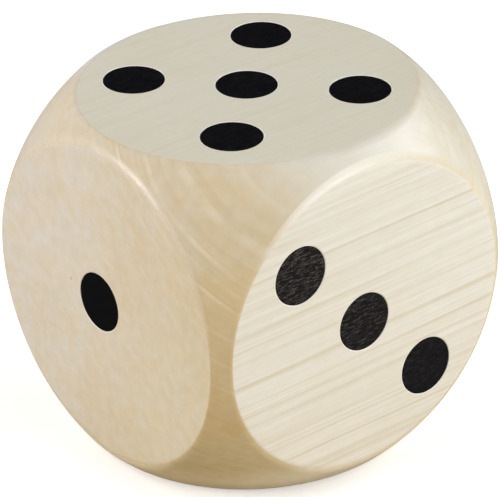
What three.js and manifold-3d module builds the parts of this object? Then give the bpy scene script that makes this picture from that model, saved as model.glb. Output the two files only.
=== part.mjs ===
// Giant yard die. One block of pale wood, a cube whose edges and corners are turned to a ball, so that each
// flat face is a disc, with a round pip of black paint in a shallow pressed seat for each point.
// Millimetres, +Z up. The origin is the centre of the bottom face, where the die stands with five on top.
// Seen from the front right: one faces -Y, three faces +X, five faces +Z. Opposite faces add up to seven.
import * as THREE from "three";
import { mergeVertices } from "three/addons/utils/BufferGeometryUtils.js";
import Module from "manifold-3d";

const SIDE = 90; // between opposite flat faces
const BALL_DIAMETER = 120.8; // across the grain, of the ball that the edges and corners are turned to
const BALL_LENGTH = 124.2; // along the grain, Y, which is the axis that it is turned about
const BALL_RISE = 0.7; // of its centre over the cube's, so the top disc is wider than the bottom one
const BALL_DETAIL = 16; // subdivisions of the icosahedron that stands for the ball
const PIP_DIAMETER = 15;
const PIP_STEP = 19.5; // from a face's centre lines to its outer pips
const PIP_SEGMENTS = 36;
const SEAT_DEPTH = 0.5; // how far each pip's seat is pressed into the wood
const PAINT_THICKNESS = 0.4; // the filled seat; the pip's surface lies 0.05 mm under the flat face
const CLEARANCE = 0.05; // around and under the paint
const OVERCUT = 2; // how far a cutting tool stands out of the wood

const wood = new THREE.MeshStandardMaterial({
  name: "pale_wood",
  color: 0xe3d6bb,
  roughness: 0.5,
  metalness: 0,
});
const paint = new THREE.MeshStandardMaterial({
  name: "black_paint",
  color: 0x151417,
  roughness: 0.38,
  metalness: 0,
});

// Each face as it is seen from outside: which way is right, which way is up, which way it faces, and its pips
// in steps from the centre. The side faces are seen with +Z up, the top and bottom faces with +Y up. A slip is
// how far the stamp of a face's pips missed its centre, and a twist is how many degrees it was turned by.
const faces = [
  {
    value: "one",
    right: [1, 0, 0],
    up: [0, 0, 1],
    out: [0, -1, 0],
    slip: [-1.8, 0.7],
    pips: { centre: [0, 0] },
  },
  {
    value: "two",
    right: [-1, 0, 0],
    up: [0, 1, 0],
    out: [0, 0, -1],
    pips: { upper_left: [-1, 1], lower_right: [1, -1] },
  },
  {
    value: "three",
    right: [0, 1, 0],
    up: [0, 0, 1],
    out: [1, 0, 0],
    slip: [-0.8, -0.7],
    pips: { upper_left: [-1, 1], centre: [0, 0], lower_right: [1, -1] },
  },
  {
    value: "four",
    right: [0, -1, 0],
    up: [0, 0, 1],
    out: [-1, 0, 0],
    pips: {
      upper_left: [-1, 1],
      upper_right: [1, 1],
      lower_left: [-1, -1],
      lower_right: [1, -1],
    },
  },
  {
    value: "five",
    right: [1, 0, 0],
    up: [0, 1, 0],
    out: [0, 0, 1],
    slip: [-0.6, 0.6],
    twist: -1.1,
    pips: {
      upper_left: [-1, 1],
      upper_right: [1, 1],
      centre: [0, 0],
      lower_left: [-1, -1],
      lower_right: [1, -1],
    },
  },
  {
    value: "six",
    right: [-1, 0, 0],
    up: [0, 0, 1],
    out: [0, 1, 0],
    pips: {
      upper_left: [-1, 1],
      upper_right: [1, 1],
      middle_left: [-1, 0],
      middle_right: [1, 0],
      lower_left: [-1, -1],
      lower_right: [1, -1],
    },
  },
];

const wasm = await Module();
wasm.setup();

// A three.js geometry placed by a matrix, as a solid for joining and cutting.
function solidFrom(geometry, matrix = new THREE.Matrix4()) {
  const placed = geometry.clone().applyMatrix4(matrix);
  placed.deleteAttribute("normal");
  placed.deleteAttribute("uv");
  const merged = mergeVertices(placed, 1e-4);
  return new wasm.Manifold(
    new wasm.Mesh({
      numProp: 3,
      vertProperties: merged.attributes.position.array,
      triVerts: new Uint32Array(merged.index.array),
    }),
  );
}

// A solid back as a three.js geometry.
function geometryFrom(solid) {
  const { vertProperties, triVerts } = solid.getMesh();
  const geometry = new THREE.BufferGeometry()
    .setAttribute("position", new THREE.BufferAttribute(vertProperties, 3))
    .setIndex(new THREE.BufferAttribute(triVerts, 1));
  geometry.computeVertexNormals();
  return geometry;
}

// A short cylinder along +Z from z = low to z = high.
function disc(radius, low, high) {
  return new THREE.CylinderGeometry(radius, radius, high - low, PIP_SEGMENTS)
    .rotateX(Math.PI / 2)
    .translate(0, 0, (low + high) / 2);
}

const die = new THREE.Group();
die.position.set(0, 0, SIDE / 2);

const paintBottom = CLEARANCE - SEAT_DEPTH;
const pipGeometry = disc(
  PIP_DIAMETER / 2,
  paintBottom,
  paintBottom + PAINT_THICKNESS,
);
const seatGeometry = disc(
  PIP_DIAMETER / 2 + CLEARANCE,
  -SEAT_DEPTH,
  OVERCUT,
);

let block = solidFrom(new THREE.BoxGeometry(SIDE, SIDE, SIDE)).intersect(
  solidFrom(
    new THREE.IcosahedronGeometry(BALL_DIAMETER / 2, BALL_DETAIL)
      .scale(1, BALL_LENGTH / BALL_DIAMETER, 1)
      .translate(0, 0, BALL_RISE),
  ),
);

for (const face of faces) {
  const [right, up, out] = [face.right, face.up, face.out].map(
    (v) => new THREE.Vector3(...v),
  );
  const side = new THREE.Group();
  side.quaternion.setFromRotationMatrix(
    new THREE.Matrix4().makeBasis(right, up, out),
  );
  side.position.copy(out).multiplyScalar(SIDE / 2);
  die.add(side);

  const centre = new THREE.Vector2();
  const slip = new THREE.Vector2(...(face.slip ?? [0, 0]));
  const twist = THREE.MathUtils.degToRad(face.twist ?? 0);
  for (const [place, [u, v]] of Object.entries(face.pips)) {
    const at = new THREE.Vector2(u, v)
      .multiplyScalar(PIP_STEP)
      .rotateAround(centre, twist)
      .add(slip);
    const pip = new THREE.Mesh(pipGeometry, paint);
    pip.name = `${face.value}_pip_${place}`;
    pip.position.set(at.x, at.y, 0);
    side.add(pip);

    side.updateMatrix();
    pip.updateMatrix();
    block = block.subtract(
      solidFrom(seatGeometry, side.matrix.clone().multiply(pip.matrix)),
    );
  }
}

const woodBlock = new THREE.Mesh(geometryFrom(block), wood);
woodBlock.name = "wood_block";
die.add(woodBlock);

const model = new THREE.Group();
model.add(die);

export default model;
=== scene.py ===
"""Giant yard die: the looks. Blender 4.5, metres, +Z up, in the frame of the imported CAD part.

The die is one block of pale wood, a cube whose edges and corners are turned to a ball, with pips of black paint in
shallow pressed seats. Its fibres run along Y, so the one and the six are end grain, and its growth rings cross the
other faces as fine lines.
"""

import math

import bmesh
import bpy
import numpy as np
from mathutils import Matrix, Vector
from mathutils.geometry import delaunay_2d_cdt


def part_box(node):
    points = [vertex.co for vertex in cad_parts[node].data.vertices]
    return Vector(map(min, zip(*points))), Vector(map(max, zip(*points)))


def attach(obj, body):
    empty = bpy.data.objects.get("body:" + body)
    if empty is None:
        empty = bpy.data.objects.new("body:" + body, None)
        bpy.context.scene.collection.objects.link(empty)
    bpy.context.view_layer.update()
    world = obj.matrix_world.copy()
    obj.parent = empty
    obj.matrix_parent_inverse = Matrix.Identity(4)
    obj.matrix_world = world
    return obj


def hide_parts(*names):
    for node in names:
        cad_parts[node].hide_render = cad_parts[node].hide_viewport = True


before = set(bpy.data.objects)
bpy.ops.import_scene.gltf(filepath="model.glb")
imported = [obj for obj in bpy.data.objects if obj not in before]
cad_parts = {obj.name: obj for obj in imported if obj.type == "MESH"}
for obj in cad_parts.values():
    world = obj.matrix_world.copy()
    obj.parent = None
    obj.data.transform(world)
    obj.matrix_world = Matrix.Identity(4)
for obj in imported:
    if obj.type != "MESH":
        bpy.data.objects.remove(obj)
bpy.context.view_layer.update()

MM = 0.001

# ---------------------------------------------------------------------------------------------------------------
# The die's dimensions, read from the CAD part, in metres.

lo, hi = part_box("wood_block")
CENTRE = np.array((lo + hi) / 2)
HALF = float((hi - lo).x / 2)
PIPS = [n for n in sorted(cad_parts) if n != "wood_block"]


def fitted_ball():
    """The body that the edges and corners are turned to: its centre, and its semi-axes across Y and along it."""
    co = np.array([v.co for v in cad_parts["wood_block"].data.vertices], float)
    co = (co[np.abs(co - CENTRE).max(1) < HALF - 1.0 * MM] - CENTRE) / HALF
    x, y, z = co.T
    # x^2 + z^2 + k y^2 - 2 cx x - 2 k cy y - 2 cz z = a^2 - cx^2 - k cy^2 - cz^2
    table = np.c_[-(y**2), 2 * x, 2 * y, 2 * z, np.ones(len(co))]
    k, cx, kcy, cz, rest = np.linalg.lstsq(table, x**2 + z**2, rcond=None)[0]
    centre = np.array((cx, kcy / k, cz))
    across = math.sqrt(rest + cx**2 + kcy**2 / k + cz**2)
    return CENTRE + centre * HALF, across * HALF, across / math.sqrt(k) * HALF


BALL, BALL_ACROSS, BALL_ALONG = fitted_ball()


def ball_radius(direction):
    """How far the ball's surface lies from its centre in each direction."""
    share = direction / np.array((BALL_ACROSS, BALL_ALONG, BALL_ACROSS))
    return 1 / np.sqrt((share**2).sum(-1))


def ball_normal(direction):
    no = direction / np.array((BALL_ACROSS, BALL_ALONG, BALL_ACROSS)) ** 2
    return no / np.linalg.norm(no, axis=-1, keepdims=True)


# Each face's outward axis, and two axes in its plane so that u x v = out.
FACES = {
    "one": ((0, -1, 0), (1, 0, 0), (0, 0, 1)),
    "two": ((0, 0, -1), (0, 1, 0), (1, 0, 0)),
    "three": ((1, 0, 0), (0, 1, 0), (0, 0, 1)),
    "four": ((-1, 0, 0), (0, 0, 1), (0, 1, 0)),
    "five": ((0, 0, 1), (1, 0, 0), (0, 1, 0)),
    "six": ((0, 1, 0), (0, 0, 1), (1, 0, 0)),
}
# How far each disc's rim is rubbed round, as the radius of its arris in mm: where it runs across u, and across v.
ARRIS = {
    "one": (1.2, 5.2),
    "two": (4.0, 4.9),
    "three": (2.1, 4.5),
    "four": (2.6, 2.8),
    "five": (5.3, 1.5),
    "six": (2.6, 2.4),
}

AROUND = 240  # points round each disc
ARRIS_STEPS = 9
BALL_STEPS = 8
SEAT_AROUND = 72
LIP = 0.32 * MM  # the rounded lip of a pressed seat
SEAT_DEPTH = 0.5 * MM
PAINT_R_GAP = 0.01 * MM


# ---------------------------------------------------------------------------------------------------------------
# Mesh helpers.


class Build:
    """Vertices with their normals, and faces, gathered before they are welded into one mesh."""

    def __init__(self):
        self.co, self.no, self.faces = [], [], []

    def add(self, co, no):
        start = len(self.co)
        self.co += [tuple(c) for c in co]
        self.no += [tuple(n) for n in no]
        return list(range(start, start + len(co)))

    def bridge(self, a, b):
        """Quads between two closed rings, the second one outside or under the first."""
        n = len(a)
        for i in range(n):
            j = (i + 1) % n
            self.faces.append((a[i], b[i], b[j], a[j]))

    def mesh(self, name, weld=0.0):
        me = bpy.data.meshes.new(name)
        bm = bmesh.new()
        layer = bm.verts.layers.float_vector.new("set_normal")
        verts = []
        for c, n in zip(self.co, self.no):
            v = bm.verts.new(c)
            v[layer] = n
            verts.append(v)
        for f in self.faces:
            bm.faces.new([verts[i] for i in f])
        if weld:
            bmesh.ops.remove_doubles(bm, verts=bm.verts, dist=weld)
        open_edges = [e for e in bm.edges if len(e.link_faces) != 2]
        if open_edges:
            raise RuntimeError(f"{name}: {len(open_edges)} edges are open")
        for f in bm.faces:
            f.smooth = True
        normals = [Vector(v[layer]).normalized() for v in bm.verts]
        bm.verts.layers.float_vector.remove(bm.verts.layers.float_vector["set_normal"])
        bm.to_mesh(me)
        bm.free()
        me.normals_split_custom_set_from_vertices([tuple(n) for n in normals])
        me.update()
        ob = bpy.data.objects.new(name, me)
        bpy.context.scene.collection.objects.link(ob)
        return ob


def wobble(seed, count, amount, terms=5):
    """A closed, smooth, slightly uneven line round a disc: count values about 0."""
    rng = np.random.default_rng(seed)
    t = np.linspace(0, 2 * np.pi, count, endpoint=False)
    out = np.zeros(count)
    for k in range(2, 2 + terms):
        out += rng.normal() / k * np.cos(k * t + rng.uniform(0, 2 * np.pi))
    return amount * out


def pip_place(node):
    """A pip's centre on its flat face, and its radius."""
    low, high = (np.array(c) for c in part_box(node))
    size = high - low
    thin = int(np.argmin(size))
    centre = (low + high) / 2
    centre[thin] = CENTRE[thin] + math.copysign(HALF, centre[thin] - CENTRE[thin])
    return centre, float(np.delete(size, thin).mean() / 2)


# ---------------------------------------------------------------------------------------------------------------
# The wood block.


def wood_block():
    b = Build()
    phi = np.linspace(0, 2 * np.pi, AROUND, endpoint=False)
    cos, sin = np.cos(phi), np.sin(phi)
    cos[np.abs(cos) < 1e-15] = 0
    sin[np.abs(sin) < 1e-15] = 0
    for index, (value, axes) in enumerate(FACES.items()):
        out, u, v = (np.array(a, float) for a in axes)
        flat = float((CENTRE - BALL) @ out) + HALF  # the flat's distance from the ball's centre
        foot = BALL + out * flat
        radial = cos[:, None] * u + sin[:, None] * v
        at_u, at_v = (a * MM for a in ARRIS[value])
        r = (at_u * cos**2 + at_v * sin**2) * (1 + wobble(20 + index, AROUND, 0.16))
        # the planes where two faces share the ball, and the widest arris that ends short of them
        edge = np.arctan(1 / np.maximum(np.abs(cos), np.abs(sin)))
        near = np.cos(edge - 0.012)
        last = np.full(AROUND, math.radians(43))
        wanted = r
        for _ in range(6):
            end = np.cos(last)[:, None] * out + np.sin(last)[:, None] * radial
            ball_r = ball_radius(end)
            widest = (flat - ball_r * near) / (1 - near)
            r = -np.log(np.exp(-wanted / (0.3 * MM)) + np.exp(-widest / (0.3 * MM))) * 0.3 * MM
            q = np.sqrt((ball_r - r) ** 2 - (flat - r) ** 2)
            last = np.arctan2(q, flat - r)
        if (last >= edge).any() or r.min() < 0.1 * MM:
            raise RuntimeError(f"{value}: its arris runs past the next face's")
        end = np.cos(last)[:, None] * out + np.sin(last)[:, None] * radial
        lean = ball_normal(end) - end

        # the arris, from the flat to the ball
        rings = []
        for k in range(ARRIS_STEPS + 1):
            t = (last * k / ARRIS_STEPS)[:, None]
            no = np.cos(t) * out + np.sin(t) * radial
            co = BALL + (flat - r)[:, None] * out + q[:, None] * radial + r[:, None] * no
            rings.append(b.add(co, no + lean * (k / ARRIS_STEPS) ** 2))
        # the ball, out to those planes
        for k in range(1, BALL_STEPS + 1):
            t = (last + (edge - last) * k / BALL_STEPS)[:, None]
            towards = np.cos(t) * out + np.sin(t) * radial
            co = BALL + ball_radius(towards)[:, None] * towards
            rings.append(b.add(co, ball_normal(towards)))
        for first, second in zip(rings, rings[1:]):
            b.bridge(first, second)

        # the flat, with a seat for each pip
        to_flat = lambda p: ((p - foot) @ u, (p - foot) @ v)
        points = [to_flat(np.array(b.co[i])) for i in rings[0]]
        owners = list(rings[0])
        seats = [None] * AROUND  # the seat whose lip a point lies on, if any
        edges = [(i, (i + 1) % AROUND) for i in range(AROUND)]
        holes = []
        for node in [n for n in PIPS if n.startswith(value + "_")]:
            centre, radius = pip_place(node)
            t = np.linspace(0, 2 * np.pi, SEAT_AROUND, endpoint=False)
            seat = radius + 0.02 * MM + wobble(hash_of(node), SEAT_AROUND, 0.012 * MM)
            around = np.cos(t)[:, None] * u + np.sin(t)[:, None] * v
            seat_rings = []
            for k in range(5):
                a = math.pi / 2 * k / 4
                co = (
                    centre
                    - out * LIP * (1 - math.cos(a))
                    + around * (seat + LIP * (1 - math.sin(a)))[:, None]
                )
                no = math.cos(a) * out - math.sin(a) * around
                seat_rings.append(b.add(co, no))
            low = b.add(
                centre - out * SEAT_DEPTH + around * seat[:, None], -around
            )
            seat_rings.append(low)
            floor = b.add(
                centre - out * SEAT_DEPTH + around * (seat - 0.1 * MM)[:, None],
                np.tile(out, (SEAT_AROUND, 1)),
            )
            seat_rings.append(floor)
            for first, second in zip(seat_rings, seat_rings[1:]):
                b.bridge(second, first)
            middle = b.add([centre - out * SEAT_DEPTH], [out])[0]
            for i in range(SEAT_AROUND):
                b.faces.append((middle, floor[i], floor[(i + 1) % SEAT_AROUND]))
            start = len(points)
            points += [to_flat(np.array(b.co[i])) for i in seat_rings[0]]
            owners += seat_rings[0]
            seats += [node] * SEAT_AROUND
            edges += [
                (start + i, start + (i + 1) % SEAT_AROUND) for i in range(SEAT_AROUND)
            ]
            holes.append((to_flat(centre), radius))
        # a loose grid keeps the flat's triangles compact
        step = 6.0 * MM
        reach = float(q.min()) - 3 * MM
        grid = np.arange(-7, 8) * step
        for gx in grid:
            for gy in grid:
                if math.hypot(gx, gy) < reach and all(
                    math.hypot(gx - c[0], gy - c[1]) > rad + 1.5 * MM
                    for c, rad in holes
                ):
                    points.append((gx, gy))
                    seats.append(None)
                    owners.append(b.add([foot + u * gx + v * gy], [out])[0])
        scaled = [Vector((p[0] / MM, p[1] / MM)) for p in points]
        made, _, triangles, from_verts, _, _ = delaunay_2d_cdt(
            scaled, edges, [list(range(AROUND))], 1, 1e-6
        )
        if len(made) != len(points):
            raise RuntimeError(f"{value}: the flat's outline crosses itself")
        back = [owners[source[0]] for source in from_verts]
        lips = [seats[source[0]] for source in from_verts]
        for tri in triangles:
            p = [made[i] for i in tri]
            if lips[tri[0]] and lips[tri[0]] == lips[tri[1]] == lips[tri[2]]:
                continue  # inside a seat
            area = (p[1] - p[0]).cross(p[2] - p[0])
            ids = [back[i] for i in tri]
            b.faces.append(tuple(ids if area > 0 else ids[::-1]))
    return b.mesh("turned_wood_block", weld=0.002 * MM)


def hash_of(name):
    """A steady number for a name."""
    h = 7
    for c in name:
        h = (h * 31 + ord(c)) % 100003
    return h


def paint_pip(node):
    """A pip of paint: a film that fills its seat, a little dished, with a soft rim that just stays under the flat."""
    centre, radius = pip_place(node)
    value = node.split("_")[0]
    out, u, v = (np.array(a, float) for a in FACES[value])
    seed = hash_of(node)
    t = np.linspace(0, 2 * np.pi, SEAT_AROUND, endpoint=False)
    around = np.cos(t)[:, None] * u + np.sin(t)[:, None] * v
    rim = radius - PAINT_R_GAP + wobble(seed, SEAT_AROUND, 0.012 * MM)
    b = Build()
    middle = b.add([centre - out * 0.085 * MM], [out])[0]
    rings = []
    # share of the radius, depth under the flat in mm, and how far the normal leans outwards
    profile = [
        (0.2, 0.084, -0.001),
        (0.4, 0.080, -0.003),
        (0.6, 0.073, -0.006),
        (0.78, 0.063, -0.010),
        (0.9, 0.053, -0.012),
        (0.955, 0.047, -0.006),
        (0.98, 0.049, 0.12),
        (0.991, 0.062, 0.5),
        (0.998, 0.095, 1.1),
        (1.0, 0.14, 1.5),
    ]
    for share, depth, lean in profile:
        co = centre - out * depth * MM + around * (rim * share)[:, None]
        no = math.cos(lean) * out + math.sin(lean) * around
        rings.append(b.add(co, no))
    rings.append(b.add(centre - out * 0.44 * MM + around * rim[:, None], around))
    rings.append(
        b.add(
            centre - out * 0.44 * MM + around * (rim - 0.1 * MM)[:, None],
            np.tile(-out, (SEAT_AROUND, 1)),
        )
    )
    for i in range(SEAT_AROUND):
        b.faces.append((middle, rings[0][i], rings[0][(i + 1) % SEAT_AROUND]))
    for first, second in zip(rings, rings[1:]):
        b.bridge(first, second)
    under = b.add([centre - out * 0.44 * MM], [-out])[0]
    for i in range(SEAT_AROUND):
        b.faces.append((under, rings[-1][(i + 1) % SEAT_AROUND], rings[-1][i]))
    return b.mesh("paint_" + node)


# ---------------------------------------------------------------------------------------------------------------
# Node helpers.


class Nodes:
    def __init__(self, name):
        self.mat = bpy.data.materials.new(name)
        self.mat.use_nodes = True
        self.tree = self.mat.node_tree
        self.tree.nodes.clear()
        self.out = self.tree.nodes.new("ShaderNodeOutputMaterial")
        self.shader = self.tree.nodes.new("ShaderNodeBsdfPrincipled")
        self.tree.links.new(self.shader.outputs[0], self.out.inputs[0])

    def node(self, kind, **props):
        n = self.tree.nodes.new(kind)
        for k, val in props.items():
            setattr(n, k, val)
        return n

    def feed(self, socket, value):
        if isinstance(value, bpy.types.NodeSocket):
            self.tree.links.new(value, socket)
        elif value is not None:
            socket.default_value = value

    def math(self, op, a, b=None, c=None, clamp=False):
        n = self.node("ShaderNodeMath", operation=op, use_clamp=clamp)
        for i, x in enumerate((a, b, c)):
            if x is not None:
                self.feed(n.inputs[i], x)
        return n.outputs[0]

    def add(self, a, b):
        return self.math("ADD", a, b)

    def sub(self, a, b):
        return self.math("SUBTRACT", a, b)

    def mul(self, a, b):
        return self.math("MULTIPLY", a, b)

    def step(self, x, low, high, smooth=True):
        """0 below low and 1 above high."""
        n = self.node(
            "ShaderNodeMapRange",
            interpolation_type="SMOOTHSTEP" if smooth else "LINEAR",
            clamp=True,
        )
        self.feed(n.inputs[0], x)
        n.inputs[1].default_value, n.inputs[2].default_value = low, high
        n.inputs[3].default_value, n.inputs[4].default_value = 0, 1
        return n.outputs[0]

    def span(self, x, low, high, to_low, to_high):
        n = self.node("ShaderNodeMapRange", interpolation_type="LINEAR", clamp=True)
        self.feed(n.inputs[0], x)
        for i, val in enumerate((low, high, to_low, to_high)):
            n.inputs[i + 1].default_value = val
        return n.outputs[0]

    def vec(self, op, a, b=None):
        n = self.node("ShaderNodeVectorMath", operation=op)
        self.feed(n.inputs[0], a)
        if b is not None:
            self.feed(n.inputs[1], b)
        return n.outputs["Value"] if op in ("LENGTH", "DOT_PRODUCT") else n.outputs[0]

    def xyz(self, v):
        n = self.node("ShaderNodeSeparateXYZ")
        self.feed(n.inputs[0], v)
        return n.outputs

    def join(self, x, y, z):
        n = self.node("ShaderNodeCombineXYZ")
        for i, val in enumerate((x, y, z)):
            self.feed(n.inputs[i], val)
        return n.outputs[0]

    def noise(self, where, scale=1.0, detail=2.0, rough=0.5, distort=0.0, dims="3D"):
        n = self.node("ShaderNodeTexNoise", noise_dimensions=dims)
        self.feed(n.inputs["Vector" if dims == "3D" else "W"], where)
        n.inputs["Scale"].default_value = scale
        n.inputs["Detail"].default_value = detail
        n.inputs["Roughness"].default_value = rough
        n.inputs["Distortion"].default_value = distort
        return n.outputs[0]

    def white(self, w):
        n = self.node("ShaderNodeTexWhiteNoise", noise_dimensions="1D")
        self.feed(n.inputs["W"], w)
        return n.outputs[0]

    def mix(self, share, a, b, blend="MIX"):
        n = self.node("ShaderNodeMix", data_type="RGBA", blend_type=blend)
        self.feed(n.inputs[0], share)
        self.feed(n.inputs[6], a)
        self.feed(n.inputs[7], b)
        return n.outputs[2]

    def bump(self, height, strength=1.0, distance=0.001, normal=None):
        n = self.node("ShaderNodeBump")
        n.inputs["Strength"].default_value = strength
        n.inputs["Distance"].default_value = distance
        self.feed(n.inputs["Height"], height)
        if normal is not None:
            self.feed(n.inputs["Normal"], normal)
        return n.outputs[0]


def rgb(r, g, b):
    return (r, g, b, 1.0)


# The wood's own colours, linear: side grain and end grain on the discs, and the ball along and across the fibres.
SIDE_PALE = (0.762, 0.738, 0.646)
END_PALE = (0.752, 0.693, 0.602)
END_WARM = (0.738, 0.664, 0.553)
BALL_SIDE = (0.700, 0.660, 0.575)
BALL_END = (0.708, 0.593, 0.420)
FIBRE_TILT = math.radians(1.4)  # the fibres rise a little towards +Y
RING_OUT = (0.57, 0.8216)  # the way the rings face, in X and Z
PITH_DISTANCE = 340.0  # mm from the block's centre
RING = 3.7  # mm


def block_place(k):
    """The point in mm from the block's centre."""
    coord = k.node("ShaderNodeTexCoord").outputs["Object"]
    centred = k.vec("SUBTRACT", coord, tuple(CENTRE))
    scale = k.node("ShaderNodeVectorMath", operation="SCALE")
    k.feed(scale.inputs[0], centred)
    scale.inputs["Scale"].default_value = 1 / MM
    return scale.outputs[0]


def grain_place(k):
    """The same point, turned so that the fibres run along Y."""
    turn = k.node("ShaderNodeVectorRotate", rotation_type="X_AXIS")
    k.feed(turn.inputs["Vector"], block_place(k))
    turn.inputs["Angle"].default_value = -FIBRE_TILT
    return turn.outputs[0]


def stretched(k, p, across, along):
    return k.vec("MULTIPLY", p, (across, along, across))


def rings(k, p):
    """The distance from the pith in mm, a little wavy, with wide rings and narrow ones."""
    x, y, z = k.xyz(p)[0:3]
    dx = k.add(x, RING_OUT[0] * PITH_DISTANCE)
    dz = k.add(z, RING_OUT[1] * PITH_DISTANCE)
    dist = k.math("SQRT", k.add(k.mul(dx, dx), k.mul(dz, dz)))
    slow = k.noise(stretched(k, p, 0.020, 0.005), detail=1.0)
    quick = k.noise(stretched(k, p, 0.10, 0.012), detail=1.0)
    pace = k.noise(k.mul(dist, 0.11), detail=1.0, dims="1D")
    return k.add(
        k.add(dist, k.span(pace, 0, 1, -3.2, 3.2)),
        k.add(k.span(slow, 0, 1, -3.0, 3.0), k.span(quick, 0, 1, -0.35, 0.35)),
    )


def ring_lines(k, dist, pitch, offset, rise, seed, low):
    """Late-wood lines: 1 on a line and 0 between, each ring with its own strength."""
    u = k.math("DIVIDE", k.add(dist, offset), pitch)
    f = k.math("FRACT", u)
    ident = k.math("FLOOR", u)
    line = k.mul(k.step(f, rise, 0.93), k.sub(1.0, k.step(f, 0.94, 1.0)))
    strength = k.span(k.white(k.add(ident, seed)), 0, 1, low, 1.0)
    return k.mul(line, strength)


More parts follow.
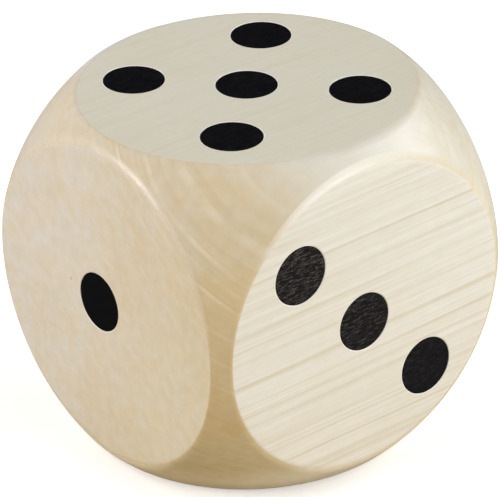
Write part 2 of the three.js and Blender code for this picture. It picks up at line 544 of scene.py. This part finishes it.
def wood():
    k = Nodes("pale_wood")
    p = grain_place(k)
    dist = rings(k, p)
    main = ring_lines(k, dist, RING, 1.3, 0.62, 3.5, 0.3)
    fine = ring_lines(k, dist, RING * 0.37, 0.2, 0.35, 11.5, 0.0)

    # fibres: long streaks along the grain, and broken ones
    fibre = k.noise(stretched(k, p, 1.9, 0.022), detail=3.0, rough=0.62)
    hair = k.noise(stretched(k, p, 5.5, 0.12), detail=2.0, rough=0.55)
    broken = k.step(k.noise(stretched(k, p, 0.22, 0.02), detail=1.0), 0.36, 0.64)
    cloud = k.noise(p, scale=0.032, detail=2.0)
    mottle = k.noise(p, scale=0.33, detail=3.0, rough=0.55)
    pores = k.noise(stretched(k, p, 3.6, 1.2), detail=2.0, rough=0.6)

    normal = k.node("ShaderNodeNewGeometry").outputs["Normal"]
    nx, ny, nz = (k.math("ABSOLUTE", c) for c in k.xyz(normal)[0:3])
    most = k.math("MAXIMUM", k.math("MAXIMUM", nx, ny), nz)
    # 1 on the discs, 0 on the ball, with a closer edge round the top and bottom ones
    flat = k.math("MAXIMUM", k.step(k.math("MAXIMUM", nx, ny), 0.95, 0.998), k.step(nz, 0.97, 0.9985))
    end = k.step(ny, 0.72, 0.97)  # 1 on end grain
    # the pressed lips of the seats keep their disc's colour; further down they are made a little paler, a painted
    # highlight on the lip
    bx, by, bz = (k.math("ABSOLUTE", c) for c in k.xyz(block_place(k))[0:3])
    outer = k.math("MAXIMUM", k.math("MAXIMUM", bx, by), bz)
    square_sum = k.add(k.mul(bx, bx), k.add(k.mul(by, by), k.mul(bz, bz)))
    from_centre = k.math("SQRT", k.sub(square_sum, k.mul(outer, outer)))
    among_pips = k.sub(1.0, k.step(from_centre, 36.6, 37.6))
    lip = k.mul(k.step(outer, HALF / MM - 0.6, HALF / MM - 0.3), among_pips)
    turned = k.sub(1.0, flat)
    flat = k.math("MAXIMUM", flat, lip)
    end = k.math("MAXIMUM", end, k.mul(k.step(by, HALF / MM - 0.6, HALF / MM - 0.3), among_pips))
    lip = k.mul(lip, turned)
    oblique = k.step(k.math("DIVIDE", by, k.math("SQRT", square_sum)), 0.105, 0.595)  # 1 where the ball cuts across the fibres
    rubbed = k.mul(k.step(most, 0.74, 0.80), k.sub(1.0, k.step(most, 0.965, 0.997)))
    # how squarely a surface cuts the rings: their lines are sharp where it does, and faint where it lies along them
    along = k.vec("DOT_PRODUCT", normal, (RING_OUT[0], 0.0, RING_OUT[1]))
    square = k.sub(1.0, k.mul(along, along))
    square = k.mul(square, square)

    # colour: the discs are sanded pale, the ball is burnished deeper, and end grain takes more lacquer
    side_pale = rgb(*SIDE_PALE)
    end_pale = k.mix(k.span(cloud, 0.36, 0.64, 0.0, 1.0), rgb(*END_PALE), rgb(*END_WARM))
    ball = k.mix(oblique, rgb(*BALL_SIDE), rgb(*BALL_END))
    base = k.mix(end, side_pale, end_pale)
    base = k.mix(flat, ball, base)
    # clouds and mottle
    base = k.mix(
        k.span(cloud, 0.3, 0.7, 0.0, 0.28), base, rgb(0.93, 0.885, 0.80), "MULTIPLY"
    )
    across = k.math("MAXIMUM", end, k.mul(oblique, k.sub(1.0, flat)))
    blotch = k.mul(k.span(mottle, 0.36, 0.64, 0.0, 1.0), k.span(across, 0, 1, 0.2, 0.8))
    base = k.mix(blotch, base, rgb(0.95, 0.905, 0.82), "MULTIPLY")
    patch = k.noise(p, scale=0.13, detail=2.0, rough=0.6)
    base = k.mix(
        k.mul(k.span(patch, 0.4, 0.6, 0.0, 1.0), k.span(across, 0, 1, 0.0, 0.6)),
        base,
        rgb(1.03, 0.985, 0.90),
        "MULTIPLY",
    )
    # painted light and shade: the wood is made a little warmer and deeper towards +X, -Y and the bottom, and paler
    # and cooler the other way, for the warm shade at the seam and underside
    px, py, pz = k.xyz(p)[0:3]
    painted_shade_tint = k.add(px, k.add(k.mul(py, -0.6), k.mul(pz, -0.4)))
    painted_shade_tint = k.mix(k.span(painted_shade_tint, -14.0, 58.0, 0.0, 1.0), rgb(1.03, 1.08, 1.20), rgb(1.0, 0.985, 0.90))
    disc_side = k.step(flat, 0.0, 0.3)
    painted_tint_share = k.sub(1.0, k.mul(k.mul(disc_side, k.sub(1.0, end)), 0.9))
    base = k.mix(painted_tint_share, base, painted_shade_tint, "MULTIPLY")
    on_ball = k.sub(1.0, disc_side)
    # painted light and shade on the ball: it is made paler and less red towards +Y, where the lights whiten it, and
    # deeper along its lower edges, in shade
    base = k.mix(
        k.mul(on_ball, k.step(py, 12.0, 34.0)), base, rgb(0.905, 0.975, 1.05), "MULTIPLY"
    )
    base = k.mix(
        k.mul(on_ball, k.span(pz, 20.0, -12.0, 0.0, 1.0)), base, rgb(0.955, 0.905, 0.79), "MULTIPLY"
    )
    # painted light: the ball is made lighter and cooler high up, away from +X
    base = k.mix(
        k.mul(on_ball, k.mul(k.span(pz, 8.0, 26.0, 0.0, 1.0), k.span(px, 42.0, 20.0, 0.0, 1.0))),
        base,
        rgb(1.055, 1.08, 1.15),
        "MULTIPLY"
    )
    # painted light: the ball is made a little cooler and less red below its middle
    base = k.mix(
        k.mul(on_ball, k.span(pz, -14.0, -24.0, 0.0, 1.0)), base, rgb(0.96, 1.025, 1.11), "MULTIPLY"
    )
    # painted bounce light: the ball's bottom strip is made much paler and cooler, for the light that comes up from
    # the table
    low = k.mul(on_ball, k.span(pz, -31.0, -39.0, 0.0, 1.0))
    cut = k.span(oblique, 0.0, 0.9, 0.15, 1.0)
    base = k.mix(k.mul(low, cut), base, rgb(1.30, 1.43, 1.77), "MULTIPLY")
    base = k.mix(k.mul(low, k.sub(1.0, cut)), base, rgb(1.15, 1.07, 1.03), "MULTIPLY")
    # painted light: the ball is also made less yellow in a band under its top corners, and low on its +Y side
    cool_light_band = k.mul(k.span(pz, 22.0, 31.0, 0.0, 1.0), k.span(pz, 42.0, 36.0, 0.0, 1.0))
    cool_light_band = k.mul(cool_light_band, k.span(py, -24.0, -34.0, 0.0, 1.0))
    base = k.mix(k.mul(on_ball, cool_light_band), base, rgb(1.0, 1.035, 1.12), "MULTIPLY")
    back_low_light = k.mul(k.span(py, 22.0, 33.0, 0.0, 1.0), k.span(pz, 35.0, 20.0, 0.0, 1.0))
    base = k.mix(k.mul(on_ball, back_low_light), base, rgb(1.04, 1.07, 1.16), "MULTIPLY")
    # painted light and shade: the top and bottom discs are made a little yellower and the X discs a little bluer,
    # each tuned to how that face is lit, and the X discs warmer towards their bottom
    side_disc = k.mul(flat, k.sub(1.0, end))
    base = k.mix(k.mul(k.mul(disc_side, k.sub(1.0, end)), nz), base, rgb(0.98, 0.957, 0.905), "MULTIPLY")
    base = k.mix(k.mul(side_disc, nx), base, rgb(1.0, 1.01, 1.06), "MULTIPLY")
    base = k.mix(
        k.mul(k.mul(side_disc, nx), k.span(pz, 10.0, -34.0, 0.0, 1.0)), base, rgb(0.985, 0.96, 0.925), "MULTIPLY"
    )
    # late-wood lines are darker on the side discs
    lines = k.add(k.mul(main, 1.0), k.mul(fine, 0.5))
    lines = k.mul(lines, k.span(broken, 0, 1, 0.6, 1.0))
    lines_flat = k.mul(k.mul(k.mul(lines, flat), k.sub(1.0, end)), k.span(square, 0, 0.42, 0.0, 1.0))
    lines_flat = k.mul(lines_flat, k.span(k.add(pz, k.mul(py, 0.6)), -40.0, 30.0, 1.25, 0.85))
    base = k.mix(lines_flat, base, rgb(0.875, 0.82, 0.715), "MULTIPLY")
    # and paler on the ball and on end grain, where the lacquer soaks in between them; this paleness is also a painted
    # sheen, made strongest towards the top, +X and -Y
    pale = k.mul(k.mul(main, k.span(broken, 0, 1, 0.25, 1.0)), k.sub(1.0, k.mul(flat, k.sub(1.0, end))))
    pale = k.mul(pale, k.span(flat, 0, 1, 0.75, 0.4))
    pale = k.mul(pale, k.mul(k.span(oblique, 0, 1, 0.25, 1.0), k.span(pz, 8.0, 34.0, 0.22, 1.0)))
    pale = k.mul(pale, k.mul(k.span(px, -22.0, 8.0, 0.35, 1.0), k.span(py, 5.0, 25.0, 1.0, 0.4)))
    base = k.mix(pale, base, rgb(0.86, 0.77, 0.62))
    darker = k.mul(k.mul(fine, on_ball), k.mul(oblique, k.span(py, 5.0, 25.0, 0.55, 0.15)))
    base = k.mix(darker, base, rgb(0.93, 0.90, 0.84), "MULTIPLY")
    # the rims are burnished most on the upper +X side of the end discs, and the upper -Y side of the X discs, and
    # paled there as a painted highlight
    end_rim = k.mul(k.step(ny, 0.68, 0.78), k.span(k.add(k.mul(px, 0.62), k.mul(pz, 0.78)), 28.0, 38.0, 0.0, 1.0))
    side_rim = k.mul(k.step(nx, 0.68, 0.78), k.span(k.add(k.mul(py, -0.3), k.mul(pz, 0.95)), 32.0, 41.0, 0.0, 1.0))
    burnish_and_highlight = k.mul(rubbed, k.math("MAXIMUM", end_rim, side_rim))
    # painted highlight: these rims are paled towards white
    base = k.mix(k.mul(burnish_and_highlight, k.span(side_rim, 0, 1, 0.2, 0.5)), base, rgb(0.90, 0.87, 0.82))
    # the rims on the +Y side of the top and X discs are a little warmer
    warmer = k.mul(k.mul(rubbed, k.sub(1.0, k.step(ny, 0.5, 0.7))), k.span(py, -10.0, 15.0, 0.0, 1.0))
    base = k.mix(warmer, base, rgb(1.0, 0.98, 0.93), "MULTIPLY")
    # painted highlight: the seats' lips are paled, standing in for the light they catch
    base = k.mix(k.mul(lip, 0.8), base, rgb(0.95, 0.92, 0.85))
    # fibres
    side = k.sub(1.0, k.math("MAXIMUM", end, k.mul(k.sub(1.0, flat), k.mul(oblique, 0.8))))
    base = k.mix(
        k.mul(k.mul(k.span(fibre, 0.42, 0.72, 0.0, 0.58), side), k.span(square, 0, 0.42, 0.5, 1.0)),
        base,
        rgb(0.90, 0.86, 0.78),
        "MULTIPLY",
    )
    base = k.mix(
        k.mul(k.mul(k.span(hair, 0.5, 0.75, 0.0, 0.5), side), k.span(square, 0, 0.42, 0.5, 1.0)),
        base,
        rgb(0.88, 0.83, 0.74),
        "MULTIPLY",
    )
    base = k.mix(
        k.mul(k.span(pores, 0.52, 0.75, 0.0, 0.36), end),
        base,
        rgb(0.86, 0.78, 0.64),
        "MULTIPLY",
    )
    # a few pin specks
    cells = k.node("ShaderNodeTexVoronoi", feature="F1")
    k.feed(cells.inputs["Vector"], stretched(k, p, 0.085, 0.06))
    cells.inputs["Scale"].default_value = 1.0
    cells.inputs["Randomness"].default_value = 1.0
    speck = k.sub(1.0, k.step(cells.outputs["Distance"], 0.02, 0.05))
    pick = k.math("GREATER_THAN", k.xyz(cells.outputs["Color"])[0], 0.86)
    speck = k.mul(speck, pick)
    base = k.mix(k.mul(speck, 0.5), base, rgb(0.32, 0.22, 0.12))
    k.feed(k.shader.inputs["Base Color"], base)

    # gloss: satin discs, glossier ball, burnished rims
    rough = k.span(flat, 0, 1, 0.42, 0.52)
    rough = k.add(rough, k.mul(rubbed, 0.06))
    rough = k.add(rough, k.mul(burnish_and_highlight, k.span(side_rim, 0, 1, -0.21, -0.12)))
    scuff = k.noise(p, scale=1.3, detail=2.0, rough=0.6)
    rough = k.add(rough, k.mul(burnish_and_highlight, k.span(scuff, 0.38, 0.62, -0.05, 0.12)))
    rough = k.add(rough, k.span(fibre, 0.3, 0.7, -0.05, 0.05))
    rough = k.add(rough, k.span(mottle, 0.3, 0.7, -0.03, 0.03))
    k.feed(k.shader.inputs["Roughness"], rough)
    k.shader.inputs["IOR"].default_value = 1.5
    k.shader.inputs["Specular IOR Level"].default_value = 0.42

    # relief: fibres and rings stand a few hundredths of a millimetre
    height = k.add(
        k.mul(k.mul(fibre, side), 0.030), k.mul(k.mul(hair, side), 0.010)
    )
    height = k.add(height, k.mul(k.mul(lines, square), 0.02))
    height = k.add(height, k.mul(k.mul(pores, end), 0.016))
    height = k.sub(height, k.mul(speck, 0.05))
    height = k.mul(height, k.span(flat, 0, 1, 0.4, 1.0))
    height = k.mul(height, k.sub(1.0, k.mul(rubbed, 0.6)))
    k.feed(
        k.shader.inputs["Normal"], k.bump(height, strength=1.0, distance=MM)
    )
    return k.mat


def paint():
    k = Nodes("black_paint")
    p = grain_place(k)
    normal = k.node("ShaderNodeNewGeometry").outputs["Normal"]
    ny = k.math("ABSOLUTE", k.xyz(normal)[1])
    side = k.sub(1.0, k.step(ny, 0.72, 0.97))
    fibre = k.noise(stretched(k, p, 2.6, 0.42), detail=3.0, rough=0.65)
    hair = k.noise(stretched(k, p, 5.0, 0.9), detail=2.0, rough=0.6)
    grit = k.noise(p, scale=2.4, detail=3.0, rough=0.65)
    # the paint lies thinner on the fibres of the X faces, where it greys; that grey is also a painted sheen, made
    # stronger towards their top and -Y
    along = k.vec("DOT_PRODUCT", normal, (RING_OUT[0], 0.0, RING_OUT[1]))
    square = k.sub(1.0, k.mul(along, along))
    px, py, pz = k.xyz(p)[0:3]
    painted_sheen_reach = k.mul(k.span(k.sub(pz, py), -40.0, 38.0, 0.12, 1.0), k.step(k.mul(square, square), 0.05, 0.40))
    thin = k.mul(k.step(fibre, 0.45, 0.66), k.step(grit, 0.36, 0.58))
    worn_and_sheen = k.mul(k.mul(thin, side), k.add(painted_sheen_reach, 0.05))
    # painted shade: the pips on the top and bottom faces are made blacker and bluer than those on the sides
    level = k.math("ABSOLUTE", k.xyz(normal)[2])
    black = k.mix(level, rgb(0.0066, 0.0064, 0.0070), rgb(0.0040, 0.0038, 0.0054))
    base = k.mix(worn_and_sheen, black, rgb(0.098, 0.083, 0.074))
    k.feed(k.shader.inputs["Base Color"], base)
    rough = k.add(k.span(grit, 0.3, 0.7, 0.36, 0.52), k.mul(worn_and_sheen, 0.1))
    k.feed(k.shader.inputs["Roughness"], rough)
    k.shader.inputs["Specular IOR Level"].default_value = 0.06
    height = k.add(k.mul(k.mul(fibre, side), 0.10), k.mul(k.mul(hair, side), 0.04))
    height = k.add(height, k.mul(grit, 0.02))
    k.feed(
        k.shader.inputs["Normal"], k.bump(height, strength=1.0, distance=MM)
    )
    return k.mat


# ---------------------------------------------------------------------------------------------------------------
# The pieces.

WOOD, PAINT = wood(), paint()

block = wood_block()
block.data.materials.append(WOOD)
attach(block, "root")
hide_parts("wood_block")

for node in PIPS:
    pip = paint_pip(node)
    pip.data.materials.append(PAINT)
    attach(pip, "root")
    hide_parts(node)

# ---------------------------------------------------------------------------------------------------------------
# The stage: a plain pale floor under a pale dome, and soft lights.


def stage_material(name, colour, glow=0.0, diffuse=True, far_glow=None):
    """A matt and glowing material. Its glow grows to far_glow away from the die, where the lights don't reach."""
    k = Nodes(name)
    k.tree.nodes.remove(k.shader)
    glowing = k.node("ShaderNodeEmission")
    glowing.inputs["Color"].default_value = rgb(1, 1, 1)
    if far_glow is None:
        glowing.inputs["Strength"].default_value = glow
    else:
        x, y, _ = k.xyz(k.node("ShaderNodeTexCoord").outputs["Object"])[0:3]
        away = k.math("SQRT", k.add(k.mul(x, x), k.mul(y, y)))
        k.feed(glowing.inputs["Strength"], k.span(away, 0.2, 0.9, glow, far_glow))
    if not diffuse:
        k.tree.links.new(glowing.outputs[0], k.out.inputs[0])
        return k.mat
    matt = k.node("ShaderNodeBsdfDiffuse")
    matt.inputs["Color"].default_value = colour
    if glow:
        both = k.node("ShaderNodeAddShader")
        k.tree.links.new(matt.outputs[0], both.inputs[0])
        k.tree.links.new(glowing.outputs[0], both.inputs[1])
        k.tree.links.new(both.outputs[0], k.out.inputs[0])
    else:
        k.tree.links.new(matt.outputs[0], k.out.inputs[0])
    return k.mat


def disc(name, radius, z, material):
    me = bpy.data.meshes.new(name)
    bm = bmesh.new()
    bmesh.ops.create_circle(bm, cap_ends=True, segments=96, radius=radius)
    bmesh.ops.translate(bm, verts=bm.verts, vec=(0, 0, z))
    bm.to_mesh(me)
    bm.free()
    ob = bpy.data.objects.new(name, me)
    ob.data.materials.append(material)
    bpy.context.scene.collection.objects.link(ob)
    return ob


floor = disc(
    "floor", 5.0, -0.0001, stage_material("floor_white", rgb(0.86, 0.86, 0.86), glow=0.4, far_glow=1.0)
)
floor.visible_diffuse = False
floor.visible_shadow = False
floor.visible_glossy = False

# The light that comes back up to the die from the table it stands on, which the camera doesn't see.
table = disc(
    "table", 1.2, -0.0004, stage_material("table_bounce", rgb(0.78, 0.68, 0.53))
)
table.visible_camera = False
table.visible_glossy = False

dome_mesh = bpy.data.meshes.new("dome")
bm = bmesh.new()
bmesh.ops.create_uvsphere(bm, u_segments=64, v_segments=32, radius=5.2)
bmesh.ops.reverse_faces(bm, faces=bm.faces)
bm.to_mesh(dome_mesh)
bm.free()
dome = bpy.data.objects.new("dome", dome_mesh)
dome.data.materials.append(stage_material("dome_white", None, glow=1.0, diffuse=False))
bpy.context.scene.collection.objects.link(dome)
dome.visible_diffuse = dome.visible_glossy = dome.visible_shadow = False
dome.visible_transmission = dome.visible_volume_scatter = False

world = bpy.data.worlds.new("studio")
world.use_nodes = True
world.node_tree.nodes["Background"].inputs["Color"].default_value = rgb(1, 1, 1)
world.node_tree.nodes["Background"].inputs["Strength"].default_value = 0.03
bpy.context.scene.world = world
world.cycles_visibility.glossy = False


def softbox(name, towards, distance, size, power, colour=(1, 1, 1)):
    """A square area light that looks at the die from a direction."""
    data = bpy.data.lights.new(name, "AREA")
    data.shape = "RECTANGLE"
    data.size, data.size_y = size
    data.energy = power
    data.color = colour
    ob = bpy.data.objects.new(name, data)
    direction = Vector(towards).normalized()
    ob.location = Vector(CENTRE) + direction * distance
    ob.rotation_mode = "QUATERNION"
    ob.rotation_quaternion = (-direction).to_track_quat("-Z", "Y")
    ob.visible_camera = False
    bpy.context.scene.collection.objects.link(ob)
    return ob


softbox("key_right", (0.93, 0.45, 0.08), 1.2, (0.6, 0.6), 12.4, (0.985, 1.0, 1.02))
softbox("key_high", (0.80, 0.25, 0.80), 1.2, (0.6, 0.6), 2.0)
softbox("fill_left", (-0.43, -0.85, 0.28), 1.2, (0.4, 0.4), 4.9)
fill_high = softbox("fill_high", (-0.20, -0.78, 0.76), 1.2, (0.8, 0.8), 6.8)
fill_high.visible_glossy = False
softbox("rim_right", (0.30, 0.90, 0.45), 1.2, (0.6, 0.6), 6.1, (0.95, 1.0, 1.05))
softbox("top", (-0.1, 0.15, 1.0), 1.2, (0.8, 0.8), 2.2)
back_left = softbox("back_left", (-0.92, 0.35, 0.14), 1.4, (0.8, 0.8), 8.0)
back_left.visible_glossy = False

# ---------------------------------------------------------------------------------------------------------------
# The camera: a long lens from the front right, a little above.

AZIMUTH, ELEVATION, ROLL = (math.radians(a) for a in (51.66172, 28.74018, -1.00969))
DISTANCE = 22.76934 * HALF
LEFT, DOWN = -0.00455 * HALF, -0.00387 * HALF
LENS = 4154.85 / 500 * 36

back = Vector(
    (
        math.sin(AZIMUTH) * math.cos(ELEVATION),
        -math.cos(AZIMUTH) * math.cos(ELEVATION),
        math.sin(ELEVATION),
    )
)
right = Vector((math.cos(AZIMUTH), math.sin(AZIMUTH), 0))
up = back.cross(right)
side_axis = math.cos(ROLL) * right + math.sin(ROLL) * up
up_axis = -math.sin(ROLL) * right + math.cos(ROLL) * up
cam_data = bpy.data.cameras.new("camera")
cam_data.sensor_width = 36
cam_data.lens = LENS
cam_data.clip_start, cam_data.clip_end = 0.05, 50
cam = bpy.data.objects.new("camera", cam_data)
turn = Matrix((side_axis, up_axis, back)).transposed().to_4x4()
cam.matrix_world = (
    Matrix.Translation(
        Vector(CENTRE) + back * DISTANCE - side_axis * LEFT - up_axis * DOWN
    )
    @ turn
)
bpy.context.scene.collection.objects.link(cam)
bpy.context.scene.camera = cam

bpy.context.scene.view_settings.view_transform = "Standard"
bpy.context.scene.view_settings.look = "None"
